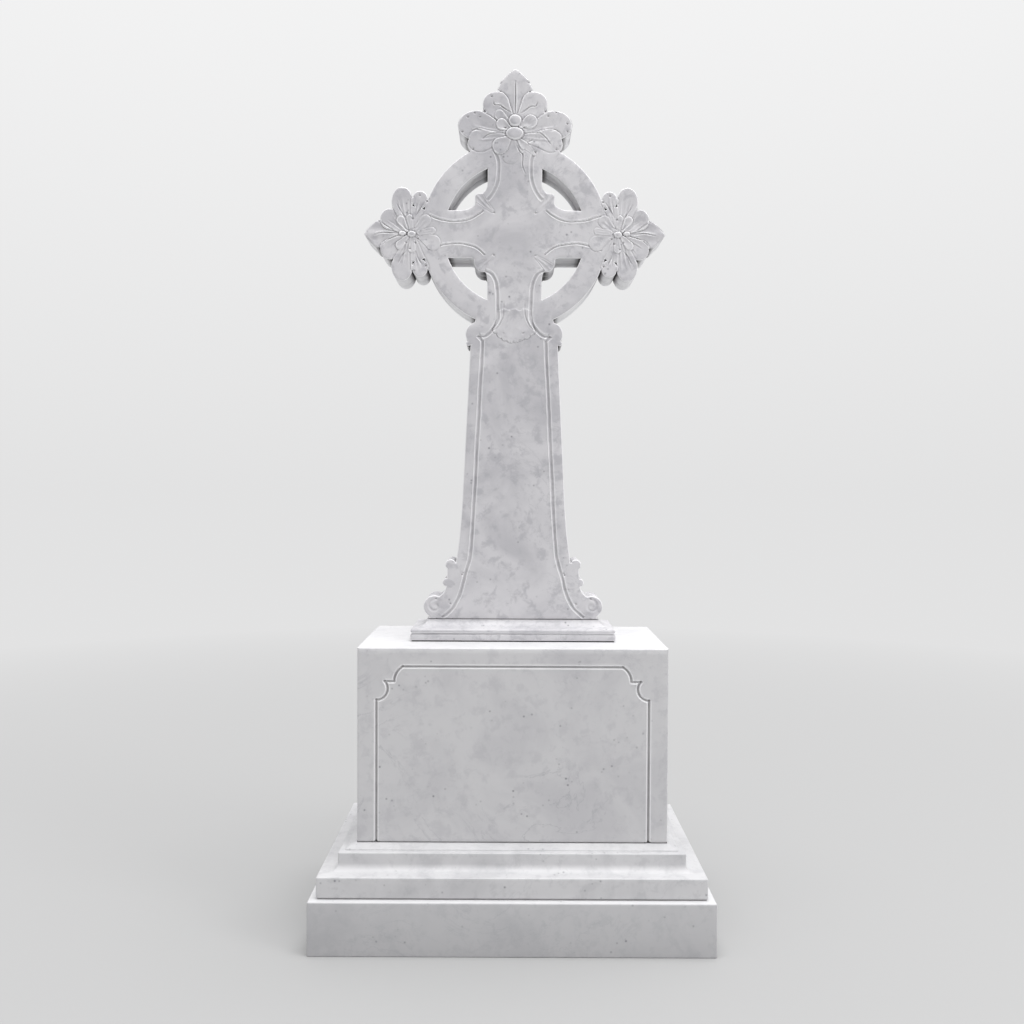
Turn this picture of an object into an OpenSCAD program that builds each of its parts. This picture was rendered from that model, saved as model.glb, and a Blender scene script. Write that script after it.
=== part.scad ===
// Celtic cross gravestone in white marble: five stones, each standing on the one below.
// Millimetres, +Z up, front towards -Y, origin at the centre of the underside.

/* [Die block] */
// Width of the die block
die_w = 664; // [560:1:800]
// Depth of the die block, front to back
die_d = 350; // [300:1:460]
// Height of the die block
die_h = 417; // [340:1:520]
// Distance of the panel groove from the sides of the die
panel_side = 41; // [30:1:60]
// Distance of the panel groove below the top of the die
panel_top = 39.5; // [30:0.5:60]
// Width of the panel groove
panel_groove_w = 6.5; // [3:0.5:10]
// Depth of the panel groove
panel_groove_d = 4; // [2:0.5:8]
// Drop from the panel's top line to the ledge in its corners
panel_ledge_drop = 31.5; // [26:0.5:34]
// Distance of the ledge's shoulder from the panel's side line
panel_ledge_x = 38; // [32:0.5:46]
// Radius of the rounded shoulder in the panel's corners
panel_shoulder_r = 36.5; // [36:0.5:44]
// Radius of the hollow below the ledge
panel_hollow_r = 24; // [20:0.5:27]
// Drop from the ledge to the centre of that hollow
panel_hollow_drop = 16; // [10:0.5:18]

/* [Moulded base] */
// How far the lower fascia stands out beyond the die, all round
base_out = 74; // [60:1:100]
// Height of the lower fascia
base_fascia_h = 46; // [30:1:70]
// How far the upper fascia stands out beyond the die, all round
base_upper_out = 35; // [26:1:45]
// Height of the upper fascia
base_upper_h = 22; // [15:1:35]
// Radius of the cove between the ledge and the upper fascia
base_cove_r = 16; // [10:1:20]
// Height of the stone's top, from the upper fascia to the die
base_slope_h = 10; // [6:1:18]
// Width of the level ledge on top of the upper fascia
base_ledge_w = 13; // [6:1:18]
// Height of the small step from that ledge to the slope
base_ledge_step = 2.5; // [1.5:0.5:5]
// Width of the level seat that the slope leaves round the die
base_seat = 3; // [1:0.5:6]

/* [Bottom block] */
// How far the bottom block stands out beyond the moulded base, all round
block_out = 16; // [8:1:40]
// Height of the bottom block
block_h = 112; // [80:1:160]

/* [Cross plinth] */
// Level margin left round the foot of the cross
plinth_seat = 2; // [1:0.5:8]
// How far the fascia stands out beyond that level top
plinth_out = 34; // [24:1:48]
// Height of the fascia
plinth_fascia_h = 15; // [10:1:24]
// Depth and height of the thin step over the fascia
plinth_step = 3; // [2:0.5:5]
// Height of the half-round roll
plinth_roll_h = 11; // [8:1:16]
// Height of the hollow slope over the roll
plinth_slope_h = 17; // [12:1:28]

/* [Cross] */
// Thickness of the cross
cross_t = 96; // [70:1:130]
// Height of the ring's centre above the foot of the cross
ring_z = 864; // [820:1:1040]
// Outer radius of the ring
ring_outer_r = 209; // [196:1:251]
// Inner radius of the ring
ring_inner_r = 158; // [145:1:168]
// Width of the upright inside the ring
upright_w = 122; // [100:1:140]
// Height of the arms inside the ring
arm_h = 106; // [85:1:125]
// Width of the shaft under the collar
shaft_top_w = 196; // [170:1:220]
// Height of that place above the foot
shaft_top_z = 618; // [600:1:640]
// Width of the shaft where its foot begins to spread
shaft_low_w = 230; // [205:1:260]
// Height where the foot begins to spread
shaft_low_z = 268; // [220:1:330]
// Width of the shaft where the foot scrolls begin
shaft_foot_w = 258; // [235:1:280]
// Height where the foot scrolls begin
shaft_foot_z = 128; // [110:1:150]

/* [Foot scrolls and collar] */
// Width of the cross at its very foot
foot_w = 384; // [350:1:461]
// Radius of the large scroll at the foot
foot_scroll_r = 24.5; // [18:0.5:30]
// How far the large scroll stands out beyond the foot
foot_scroll_out = 10; // [6:0.5:14]
// Radius of the bead on the sweep above the large scroll
foot_bump_r = 9; // [6:0.5:13]
// Height of the centre of that bead
foot_bump_z = 83; // [76:1:90]
// Radius of the knob on top of the foot scrolls
foot_knob_r = 12; // [9:0.5:15]
// Radius of the collar's curl
collar_r = 27; // [20:0.5:32]
// How far the collar stands out beyond the shaft
collar_out = 11; // [6:0.5:16]
// Radius of the hanging tip of the collar's curl
collar_tip_r = 5.5; // [4:0.5:8]

/* [Leaf ends] */
// Length of the top leaf end beyond the ring
top_leaf_l = 158; // [150:1:190]
// Length of the side leaf ends beyond the ring
side_leaf_l = 128; // [122:1:155]
// Depth of the hollows cut in the lobes of the leaves
lobe_hollow = 5; // [2:0.5:9]
// How far the flowers stand out from the face
flower_out = 7; // [3:0.5:10]

/* [Carved lines] */
// Distance of the border line from the edge of the shaft
border_w = 27; // [18:1:36]
// Width of the border groove
groove_w = 10; // [4:0.5:12]
// Depth of the border groove
groove_d = 4; // [2:0.5:8]
// How far the hanging leaf under the crossing stands out
apron_out = 3; // [1:0.5:6]

/* [Hidden] */
$fn = 64;

marble = "gainsboro";
marble_low = "silver";

over = 1;          // how far cutting solids pass through a face
arc_steps = 8;     // flats on each curved stretch of the cross's outline
lobe_steps = 24;   // flats round each leaf lobe
rim_w = 5;         // rim left round the hollow of each lobe
vein_w = 4;        // width of the veins in the leaves and of the scroll lines
vein_d = 7;        // depth of the veins below the face

// widths, heights and levels that follow from the sizes above
base_w = die_w + 2 * base_out;
base_d = die_d + 2 * base_out;
base_h = base_fascia_h + base_cove_r + base_upper_h + base_slope_h;
block_w = base_w + 2 * block_out;
block_d = base_d + 2 * block_out;
plinth_h = plinth_fascia_h + plinth_step + plinth_roll_h + plinth_slope_h;

base_z = block_h;
die_z = base_z + base_h;
plinth_z = die_z + die_h;
cross_z = plinth_z + plinth_h;
cross_front = -cross_t / 2;

// leaf lobes: [distance out from the ring, distance from the axis, half length, half width]
top_lobes = [[80.5, 43.5, 27.5, 29], [33, 84, 33, 44], [-9, 82, 24.5, 24.5]];
side_lobes = [[70, 34, 22, 23], [43, 72, 24, 33], [3, 76, 17.5, 20]];
// pointed leaf at the end: [distance back from its tip, half width], shoulder then widest place
top_tip = [[27, 32], [46, 39.5]];
side_tip = [[27, 29.5], [36, 31]];
// leaf core: [distance out from the ring, radius]
top_core = [16, 72];
side_core = [24, 62];
// flower: [distance out from the ring, distance from the axis, radius], eye first
top_flower = [[16, 0, 16], [46, 0, 13], [40, 31, 15], [-9, 42, 19]];
side_flower = [[20, 0, 12], [42, 0, 9], [34, 22, 10], [2, 27, 13]];

// inner corners of the ring's openings: [out from the axis, from the arm's axis, corner radius],
// then the width and height of the hollow sweep to the arm and of the one to the upright
upper_corner = [[89, 91, 8], [36, 18], [15, 26]];
lower_corner = [[91, 84, 22], [10, 5], [6, 22]];

function arc(c, r, a0, a1, n = arc_steps) = oval_arc(c, r, r, a0, a1, n);

function oval_arc(c, rx, ry, a0, a1, n = arc_steps) =
    [for (i = [0 : n]) let (a = a0 + (a1 - a0) * i / n) [c.x + rx * cos(a), c.y + ry * sin(a)]];

function oval(c, rx, ry, n) = oval_arc(c, rx, ry, 0, 360 - 360 / n, n - 1);

// cubic curve from p[0] to p[3], pulled towards p[1] and p[2]
function curve(p, n = arc_steps) =
    [for (i = [0 : n]) let (t = i / n, s = 1 - t)
        s * s * s * p[0] + 3 * s * s * t * p[1] + 3 * s * t * t * p[2] + t * t * t * p[3]];

// spiral round c that closes from radius r0 to r1
function spiral(c, r0, r1, a0, a1, n) =
    [for (i = [0 : n]) let (a = a0 + (a1 - a0) * i / n, r = r0 + (r1 - r0) * i / n) c + r * [cos(a), sin(a)]];

function unit(v) = v / norm(v);
function backwards(p) = [for (i = [len(p) - 1 : -1 : 0]) p[i]];
function mirrored(p) = [for (q = backwards(p)) [-q.x, q.y]];

// one side of a line of width w drawn through the points p
function line_side(p, w) =
    [for (i = [0 : len(p) - 1])
        let (d = unit(p[min(i + 1, len(p) - 1)] - p[max(i - 1, 0)])) p[i] + w / 2 * [-d.y, d.x]];

module stroke(p, w) {
    polygon(concat(line_side(p, w), backwards(line_side(p, -w))));
}

module both_sides() {
    children();
    mirror([1, 0, 0]) children();
}

// a drawing in X and Z, made solid from depth y back by t
module slab(y, t) {
    translate([0, y + t, 0]) rotate([90, 0, 0]) linear_extrude(t) children();
}

// a profile of [distance outside, height] points, mitred round a rectangle of w by d
module mitred(w, d, profile) {
    reach = w + d;
    intersection() {
        rotate([90, 0, 0]) linear_extrude(reach, center = true) polygon(section(w, profile));
        rotate([90, 0, 90]) linear_extrude(reach, center = true) polygon(section(d, profile));
    }
}

function section(span, profile) =
    let (right = [for (p = profile) [span / 2 + p.x, p.y]]) concat(right, mirrored(right));

// ---- bottom block, moulded base and die ----

module bottom_block() {
    color(marble_low) translate([-block_w / 2, -block_d / 2, 0]) cube([block_w, block_d, block_h]);
}

function base_profile() =
    let (cove_z = base_fascia_h + base_cove_r, ledge_z = cove_z + base_upper_h)
    concat(
        [[base_out, 0], [base_out, base_fascia_h]],
        arc([base_upper_out + base_cove_r, cove_z], base_cove_r, 270, 180),
        [[base_upper_out, ledge_z], [base_upper_out - base_ledge_w, ledge_z]],
        [[base_upper_out - base_ledge_w, ledge_z + base_ledge_step], [base_seat, base_h]]
    );

module moulded_base() {
    color(marble_low) translate([0, 0, base_z]) mitred(die_w, die_d, base_profile());
}

// right half of the panel's outline, grown by e, from its top down to the foot of the die
function panel_half(e) =
    let (
        side_x = die_w / 2 - panel_side,
        top_z = die_h - panel_top,
        ledge_z = top_z - panel_ledge_drop,
        shoulder = [side_x - panel_ledge_x - panel_shoulder_r, ledge_z],
        shoulder_r = panel_shoulder_r + e,
        hollow = [side_x, ledge_z - panel_hollow_drop],
        hollow_r = panel_hollow_r - e
    )
    concat(
        arc(shoulder, shoulder_r, asin((top_z + e - ledge_z) / shoulder_r), asin(e / shoulder_r)),
        arc(hollow, hollow_r, 180 - asin((ledge_z + e - hollow.y) / hollow_r), 270 - asin(-e / hollow_r)),
        [[side_x + e, -over]]
    );

module panel_area(e) {
    right = panel_half(e);
    polygon(concat(right, mirrored(right)));
}

module die_block() {
    color(marble) translate([0, 0, die_z]) difference() {
        translate([-die_w / 2, -die_d / 2, 0]) cube([die_w, die_d, die_h]);
        slab(-die_d / 2 - over, over + panel_groove_d) difference() {
            panel_area(panel_groove_w / 2);
            panel_area(-panel_groove_w / 2);
        }
    }
}

// ---- plinth of the cross ----

function plinth_profile() =
    let (
        step_z = plinth_fascia_h + plinth_step,
        roll_r = plinth_roll_h / 2,
        inner = plinth_out - plinth_step
    )
    concat(
        [[plinth_out, 0], [plinth_out, plinth_fascia_h], [inner, plinth_fascia_h], [inner, step_z]],
        arc([plinth_out - roll_r, step_z + roll_r], roll_r, -90, 90),
        oval_arc([inner - roll_r, plinth_h], inner - roll_r, plinth_slope_h, 270, 180)
    );

module cross_plinth() {
    color(marble) translate([0, 0, plinth_z])
        mitred(foot_w + 2 * plinth_seat, cross_t + 2 * plinth_seat, plinth_profile());
}

// ---- the cross: outline ----

// half width of the shaft at height z: a straight taper that spreads in a curve towards the foot
function shaft_half(z) =
    let (
        taper = (shaft_low_w - shaft_top_w) / 2 / (shaft_top_z - shaft_low_z),
        spread = (shaft_foot_w - shaft_low_w) / 2 - taper * (shaft_low_z - shaft_foot_z),
        t = max(0, (shaft_low_z - z) / (shaft_low_z - shaft_foot_z))
    )
    shaft_low_w / 2 - taper * (z - shaft_low_z) + spread * t * t;

// edge of the shaft's spreading foot from the scrolls up, set in by the given distance
function foot_edge(inset) =
    [for (i = [0 : arc_steps])
        let (z = shaft_foot_z + (shaft_low_z - shaft_foot_z) * i / arc_steps) [shaft_half(z) - inset, z]];

foot_scroll = [foot_w / 2 + foot_scroll_out - foot_scroll_r, foot_scroll_r + 4];
foot_knob = [shaft_foot_w / 2 + foot_knob_r, shaft_foot_z - 5];
foot_bump = [foot_knob.x + 9, foot_bump_z];
collar = [shaft_top_w / 2 + collar_out - collar_r, shaft_top_z + collar_r - 4];
collar_tip = collar + (collar_r - 4) * [cos(-42), sin(-42)] + [3, -5];

// the hollow sweep from the large scroll up past the bead
function foot_sweep() =
    curve([foot_scroll + [-5, foot_scroll_r - 6], foot_scroll + [-18, foot_scroll_r + 3],
           foot_bump - [1, 20], foot_bump + [-1, 8]]);

module shaft_outline() {
    polygon(concat(
        [[0, 0], [foot_w / 2, 0], foot_scroll],
        foot_sweep(),
        [foot_knob + (foot_knob_r - 1) * [cos(-48), sin(-48)], foot_knob],
        foot_edge(0),
        [[shaft_half(shaft_top_z), shaft_top_z], [shaft_half(shaft_top_z) - 11, collar.y + collar_r + 8],
         [upright_w / 2, ring_z - ring_inner_r + 8], [upright_w / 2, ring_z], [0, ring_z]]
    ));
    translate(foot_scroll) circle(foot_scroll_r);
    translate(foot_bump) circle(foot_bump_r);
    translate(foot_knob) circle(foot_knob_r);
    difference() {
        union() {
            translate(collar) circle(collar_r);
            translate(collar_tip) circle(collar_tip_r);
        }
        translate(collar_tip - [collar_tip_r + 2.5, 1.5]) circle(2.5);
    }
}

// a knob in an inner corner of the ring's openings, with its hollow sweeps to the arm and the upright
module corner_outline(knob, to_arm, to_upright) {
    r = knob[2];
    polygon(concat(
        [[0, 0], [knob.x + to_arm.x, 0]],
        oval_arc([knob.x + to_arm.x, arm_h / 2 + to_arm.y], to_arm.x, to_arm.y, 270, 180),
        arc([knob.x - r, knob.y - r], r, 0, 90),
        oval_arc([upright_w / 2 + to_upright.x, knob.y + to_upright.y], to_upright.x, to_upright.y, 270, 180),
        [[0, knob.y + to_upright.y]]
    ));
}

// one leaf end, pointing along +Y from the ring's outer edge
module leaf_outline(length, tip, core, lobes) {
    shoulder = [tip[0][1], length - tip[0][0]];
    widest = [tip[1][1], length - tip[1][0]];
    translate([0, core[0]]) circle(core[1]);
    both_sides() {
        polygon(concat(
            [[0, core[0]]],
            [[widest.x - rim_w, core[0]], widest, shoulder],
            curve([shoulder, shoulder + [-8, 9], [6, length - 1], [0, length]])
        ));
        for (lobe = lobes) polygon(oval([lobe[1], lobe[0]], lobe[3], lobe[2], lobe_steps));
    }
}

// leaf ends are drawn along +Y from the ring's edge, then put at the top and on both arms
module at_top() {
    translate([0, ring_z + ring_outer_r]) children();
}

module at_arms() {
    both_sides() translate([ring_outer_r, ring_z]) rotate(-90) children();
}

module cross_outline() {
    both_sides() shaft_outline();
    translate([0, ring_z]) {
        difference() {
            circle(ring_outer_r, $fn = 96);
            circle(ring_inner_r, $fn = 96);
        }
        both_sides() {
            corner_outline(upper_corner[0], upper_corner[1], upper_corner[2]);
            mirror([0, 1, 0]) corner_outline(lower_corner[0], lower_corner[1], lower_corner[2]);
        }
        translate([-ring_outer_r, -arm_h / 2]) square([2 * ring_outer_r, arm_h]);
        translate([-upright_w / 2, 0]) square([upright_w, ring_outer_r]);
    }
    at_top() leaf_outline(top_leaf_l, top_tip, top_core, top_lobes);
    at_arms() leaf_outline(side_leaf_l, side_tip, side_core, side_lobes);
}

// ---- the cross: carving on its front ----

// a round swelling of radius r that stands h out from the front face
module swelling(x, z, r, h) {
    ball = (r * r + h * h) / (2 * h);
    translate([x, cross_front + ball - h, z]) sphere(ball);
}

// a round hollow of radius r and depth h in the front face
module hollow(x, z, r, h) {
    ball = (r * r + h * h) / (2 * h);
    translate([x, cross_front - ball + h, z]) sphere(ball);
}

// the same two places for solids, which are made with Z along the leaf
module top_place() {
    translate([0, 0, ring_z + ring_outer_r]) children();
}

module arm_places() {
    both_sides() translate([ring_outer_r, 0, ring_z]) rotate([0, 90, 0]) children();
}

module leaf_hollows(lobes) {
    both_sides() for (lobe = lobes) hollow(lobe[1], lobe[0], min(lobe[2], lobe[3]) - rim_w, lobe_hollow);
}

// veins that run out from the flower's eye, one into the tip and one into each lobe
module leaf_veins(length, flower, lobes) {
    eye = [0, flower[0][0]];
    bud = [0, flower[1][0]];
    stroke([bud, [0, length - 34]], vein_w);
    both_sides() for (lobe = lobes)
        stroke([eye, [lobe[1], lobe[0]] + unit([lobe[1], lobe[0]] - eye) * (lobe[3] - 3 * rim_w)], vein_w);
}

module leaf_flower(flower) {
    both_sides() for (part = flower) swelling(part[1], part[0], part[2], flower_out * part[2] / flower[0][2]);
}

// the line of the border: up the shaft, and out round the foot scrolls
function shaft_line() = concat(
    curve([[foot_w / 2 - 32, 4], [foot_w / 2 - 60, 22], foot_knob - [22, 68], foot_knob - [33, 21]]),
    foot_edge(border_w),
    [[shaft_half(shaft_top_z) - border_w, shaft_top_z + 8]]
);

// the line that runs down inside the upright and curls over the collar
function collar_line() = concat(
    curve([[66, -80], [42, -84], [36, -110], [40, -160]]),
    curve([[40, -180], [42, -206], [62, -236], [80, -226]])
);

module cross_lines() {
    both_sides() {
        stroke(shaft_line(), groove_w);
        translate([0, ring_z]) {
            stroke(collar_line(), groove_w);
            stroke(curve([[54, 187], [34, 140], [44, 104], [66, 80]]), groove_w);
            for (side = [0, 1]) mirror([0, side])
                stroke(curve([[72, 50], [104, 30], [150, 32], [196, 41]]), groove_w);
        }
        stroke(spiral(foot_scroll, foot_scroll_r - 8, 6, 100, -230, 16), vein_w);
    }
}

// scalloped leaf that hangs under the crossing
module apron() {
    low = collar.y - 4;
    both_sides() {
        polygon([[0, low], [40, low + 20], [30, low + 50], [24, low + 62], [0, low + 58]]);
        translate([0, low]) circle(16);
        translate([22, low + 3]) circle(15);
        translate([38, low + 19]) circle(12);
    }
}

module celtic_cross() {
    color(marble) translate([0, 0, cross_z]) {
        difference() {
            slab(cross_front, cross_t) cross_outline();
            slab(cross_front - over, over + groove_d) cross_lines();
            slab(cross_front - over, over + vein_d) {
                at_top() leaf_veins(top_leaf_l, top_flower, top_lobes);
                at_arms() leaf_veins(side_leaf_l, side_flower, side_lobes);
            }
            top_place() leaf_hollows(top_lobes);
            arm_places() leaf_hollows(side_lobes);
        }
        slab(cross_front - apron_out, apron_out + over) apron();
        top_place() leaf_flower(top_flower);
        arm_places() leaf_flower(side_flower);
    }
}

bottom_block();
moulded_base();
die_block();
cross_plinth();
celtic_cross();
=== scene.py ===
import math

import bmesh
import bpy
import numpy as np
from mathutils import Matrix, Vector, geometry, kdtree


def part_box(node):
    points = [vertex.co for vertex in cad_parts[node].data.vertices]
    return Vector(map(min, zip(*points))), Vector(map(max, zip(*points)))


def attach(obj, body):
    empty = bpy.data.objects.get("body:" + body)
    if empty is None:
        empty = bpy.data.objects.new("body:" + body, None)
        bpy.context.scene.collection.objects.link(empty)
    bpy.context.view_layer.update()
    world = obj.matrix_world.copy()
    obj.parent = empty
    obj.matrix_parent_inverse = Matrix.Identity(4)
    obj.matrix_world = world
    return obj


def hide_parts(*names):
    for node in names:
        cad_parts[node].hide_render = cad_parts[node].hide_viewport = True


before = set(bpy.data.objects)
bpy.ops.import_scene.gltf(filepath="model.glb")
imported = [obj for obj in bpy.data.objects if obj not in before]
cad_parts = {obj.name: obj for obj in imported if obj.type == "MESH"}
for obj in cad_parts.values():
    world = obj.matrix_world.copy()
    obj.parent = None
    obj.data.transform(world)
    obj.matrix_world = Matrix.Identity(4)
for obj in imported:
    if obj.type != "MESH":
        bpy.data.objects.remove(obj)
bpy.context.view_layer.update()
print("frame loaded, nodes:", ", ".join(sorted(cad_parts)))

mm = 0.001  # everything below is worked out in millimetres


def easeStep(low, high, value):
    t = np.clip((value - low) / (high - low), 0, 1)
    return t * t * (3 - 2 * t)


def bellCurve(value, width):
    return np.exp(-(value / width) ** 2)


# smooth line through a few given points
def throughPoints(points, stepsEach=8):
    p = np.array([points[0], *points, points[-1]], float)
    line = []
    for i in range(1, len(p) - 2):
        for t in np.arange(stepsEach) / stepsEach:
            a = 2 * p[i]
            b = p[i + 1] - p[i - 1]
            c = 2 * p[i - 1] - 5 * p[i] + 4 * p[i + 1] - p[i + 2]
            d = 3 * p[i] - p[i - 1] - 3 * p[i + 1] + p[i + 2]
            line.append((a + b * t + c * t * t + d * t ** 3) / 2)
    line.append(p[-2])
    return np.array(line)


# distance to a drawn line, the side it lies on, and how far along it is, from 0 to 1
def lineDistance(x, z, line, reach=14):
    line = np.array(line, float)
    best = np.full(x.shape, 99.0)
    along = np.zeros(x.shape)
    near = (
        (x > line[:, 0].min() - reach) & (x < line[:, 0].max() + reach)
        & (z > line[:, 1].min() - reach) & (z < line[:, 1].max() + reach)
    )
    px, pz = x[near], z[near]
    found = np.full(px.shape, 99.0)
    foundAt = np.zeros(px.shape)
    for i in range(len(line) - 1):
        ax, az = line[i]
        dx, dz = line[i + 1] - line[i]
        t = np.clip(((px - ax) * dx + (pz - az) * dz) / (dx * dx + dz * dz + 1e-9), 0, 1)
        d = np.hypot(px - ax - t * dx, pz - az - t * dz)
        closer = d < found
        found[closer] = d[closer]
        foundAt[closer] = (i + t[closer]) / (len(line) - 1)
    best[near] = found
    along[near] = foundAt
    return best, along


# the cutting tools each take the surface height and return it changed
def cutGutter(h, x, z, line, width, depth, lip, fade=0.04):
    d, along = lineDistance(x, z, line)
    ends = easeStep(0, fade, along) * easeStep(0, fade, 1 - along)
    inside = 0.55 * easeStep(width / 2, width / 2 - 1.6, d) + 0.45 * easeStep(width / 2 - 1.2, 0, d)
    return h - ends * depth * inside + ends * lip * bellCurve(d - width / 2 - 1.0, 1.1)


def cutVein(h, x, z, line, width, depth, lip):
    d, along = lineDistance(x, z, line)
    taper = np.sqrt(np.clip(np.sin(np.pi * np.clip(along, 0.02, 0.98)), 0, 1))
    cut = depth * taper * bellCurve(d, width / 2)
    return h - cut + lip * taper * bellCurve(d - width, width / 2)


def drillDot(h, x, z, spot, size=1.9, depth=4.0):
    return h - depth * bellCurve(np.hypot(x - spot[0], z - spot[1]), size)


# how far a point lies outside a petal that widens from its foot to its crown
def petalEdge(x, z, foot, crown, footR, crownR):
    dx, dz = crown[0] - foot[0], crown[1] - foot[1]
    length = math.hypot(dx, dz)
    dx, dz = dx / length, dz / length
    side = (x - foot[0]) * dz - (z - foot[1]) * dx
    along = (x - foot[0]) * dx + (z - foot[1]) * dz
    slope = (footR - crownR) / length
    flat = math.sqrt(max(1e-6, 1 - slope * slope))
    across = np.abs(side)
    k = flat * along - slope * across
    edge = np.where(
        k < 0,
        np.hypot(across, along) - footR,
        np.where(k > flat * length, np.hypot(across, along - length) - crownR,
                 across * flat + along * slope - footR),
    )
    return edge, side, along / length


def layPetal(h, x, z, petal):
    edge, side, along = petalEdge(x, z, petal["foot"], petal["crown"], petal["footR"], petal["crownR"])
    over = easeStep(0.9, -0.9, edge)
    h = h - petal.get("cut", 1.6) * bellCurve(np.maximum(edge, 0), 1.7) * (edge > -3)
    middle = np.clip(-edge / (0.7 * petal["crownR"]), 0, 1)
    own = petal["level"] - petal.get("dish", 2.0) * easeStep(0, 1, middle) * easeStep(1.35, 0.5, along)
    window = easeStep(-0.1, 0.15, along) * easeStep(1.15, 0.75, along)
    ridge = petal.get("ridge", 0.0)
    if ridge:
        own = own + window * ridge * (bellCurve(side, 1.9) - 0.3 * bellCurve(np.abs(side) - 4.6, 2.0))
    for offset in petal.get("folds", ()):
        fold = side - offset * (0.25 + 0.75 * along)
        own = own + window * 0.8 * (bellCurve(fold, 1.5) - 0.8 * bellCurve(fold - 2.2, 1.2))
    return h * (1 - over) + own * over


def layDome(h, x, z, centre, radii, height, cut):
    q = np.hypot((x - centre[0]) / radii[0], (z - centre[1]) / radii[1])
    around = (q - 1) * min(radii)
    h = h - cut * bellCurve(np.maximum(around, 0), 1.8) * (around > -2)
    over = easeStep(0.6, -0.6, around)
    own = height * np.sqrt(np.clip(1 - q ** 3, 0, 1)) + 0.6
    return h * (1 - over) + own * over


# closed outlines of a stone's flat back face, anticlockwise outside and clockwise round openings
def backOutlines(nodeName):
    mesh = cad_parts[nodeName].data
    points = np.array([v.co[:] for v in mesh.vertices]) / mm
    back = points[:, 1].max()
    edges = set()
    for face in mesh.polygons:
        keys = [tuple(np.round(points[i][[0, 2]], 2)) for i in face.vertices]
        if min(points[i][1] for i in face.vertices) < back - 0.01:
            continue
        for i, key in enumerate(keys):
            after = keys[(i + 1) % len(keys)]
            if (after, key) in edges:
                edges.remove((after, key))
            elif after != key:
                edges.add((key, after))
    follow = dict(edges)
    loops = []
    while follow:
        start = next(iter(sorted(follow)))
        loop = [start]
        here = follow.pop(start)
        while here != start and here in follow:
            loop.append(here)
            here = follow.pop(here)
        loops.append(np.array(loop))
    loops.sort(key=lambda l: -abs(loopArea(l)))
    for i, loop in enumerate(loops):
        if (loopArea(loop) > 0) != (i == 0):
            loops[i] = loop[::-1]
    return loops, back


def loopArea(loop):
    after = np.roll(loop, -1, axis=0)
    return 0.5 * np.sum(loop[:, 0] * after[:, 1] - after[:, 0] * loop[:, 1])


# keeps every corner, drops crowded points and splits the long sides
def evenLoop(loop, step):
    kept = [loop[0]]
    for p in loop[1:]:
        if np.hypot(*(p - kept[-1])) > 0.6:
            kept.append(p)
    if np.hypot(*(kept[-1] - kept[0])) < 0.6:
        kept.pop()
    out = []
    for a, b in zip(kept, kept[1:] + kept[:1]):
        n = max(1, math.ceil(np.hypot(*(b - a)) / step))
        for i in range(n):
            out.append(a + (b - a) * i / n)
    return np.array(out)


# unit vectors pointing into the stone at each point of a loop
def inwardNormals(loop):
    before = loop - np.roll(loop, 1, axis=0)
    after = np.roll(loop, -1, axis=0) - loop
    before /= np.linalg.norm(before, axis=1)[:, None]
    after /= np.linalg.norm(after, axis=1)[:, None]
    mean = before + after
    mean /= np.maximum(np.linalg.norm(mean, axis=1), 0.3)[:, None]
    return np.stack([-mean[:, 1], mean[:, 0]], 1)


# how close each point of a loop lies to a sharp inner corner, from 0 far away to 1 in the corner
def cornerShade(loop, reach):
    before = loop - np.roll(loop, 1, axis=0)
    after = np.roll(loop, -1, axis=0) - loop
    turn = before[:, 0] * after[:, 1] - before[:, 1] * after[:, 0]
    turn /= np.linalg.norm(before, axis=1) * np.linalg.norm(after, axis=1)
    shade = np.zeros(len(loop))
    for corner in loop[turn < -0.42]:
        shade = np.maximum(shade, bellCurve(np.hypot(*(loop - corner).T), reach))
    return shade


def insideLoops(x, z, loops):
    inside = np.zeros(x.shape, bool)
    for loop in loops:
        after = np.roll(loop, -1, axis=0)
        for (ax, az), (bx, bz) in zip(loop, after):
            if az == bz:
                continue
            rows = (z >= min(az, bz)) & (z < max(az, bz))
            crossing = ax + (z[rows] - az) * (bx - ax) / (bz - az) > x[rows]
            inside[rows] ^= crossing
    return inside


# points spread thinly over flat parts and closely where the carving bends
def reliefPoints(loops, relief, finest, tolerance):
    outer = loops[0]
    low = outer.min(0)
    size = outer.max(0) - low
    block = finest * 8
    nx, nz = (np.ceil(size / block)).astype(int)
    gx = low[0] + (np.arange(nx * 8) + 0.5) * finest
    gz = low[1] + (np.arange(nz * 8) + 0.5) * finest
    x, z = np.meshgrid(gx, gz, indexing="ij")
    h = relief(x.ravel(), z.ravel()).reshape(x.shape)
    bend = np.zeros_like(h)
    bend[1:-1, :] += np.abs(h[2:, :] + h[:-2, :] - 2 * h[1:-1, :])
    bend[:, 1:-1] += np.abs(h[:, 2:] + h[:, :-2] - 2 * h[:, 1:-1])
    points = []
    todo = np.ones((nx, nz), bool)
    for level in (8, 4, 2, 1):
        cells = bend.reshape(bend.shape[0] // level, level, bend.shape[1] // level, level).max((1, 3))
        grow = cells.shape[0] // todo.shape[0]
        todo = np.repeat(np.repeat(todo, grow, 0), grow, 1)
        split = todo & (cells * level * level / 8 > tolerance) if level > 1 else np.zeros_like(todo)
        i, j = np.nonzero(todo & ~split)
        cellX = low[0] + (i + 0.5) * level * finest
        cellZ = low[1] + (j + 0.5) * level * finest
        points.append(np.stack([cellX, cellZ], 1))
        todo = split
    return np.concatenate(points)


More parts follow.
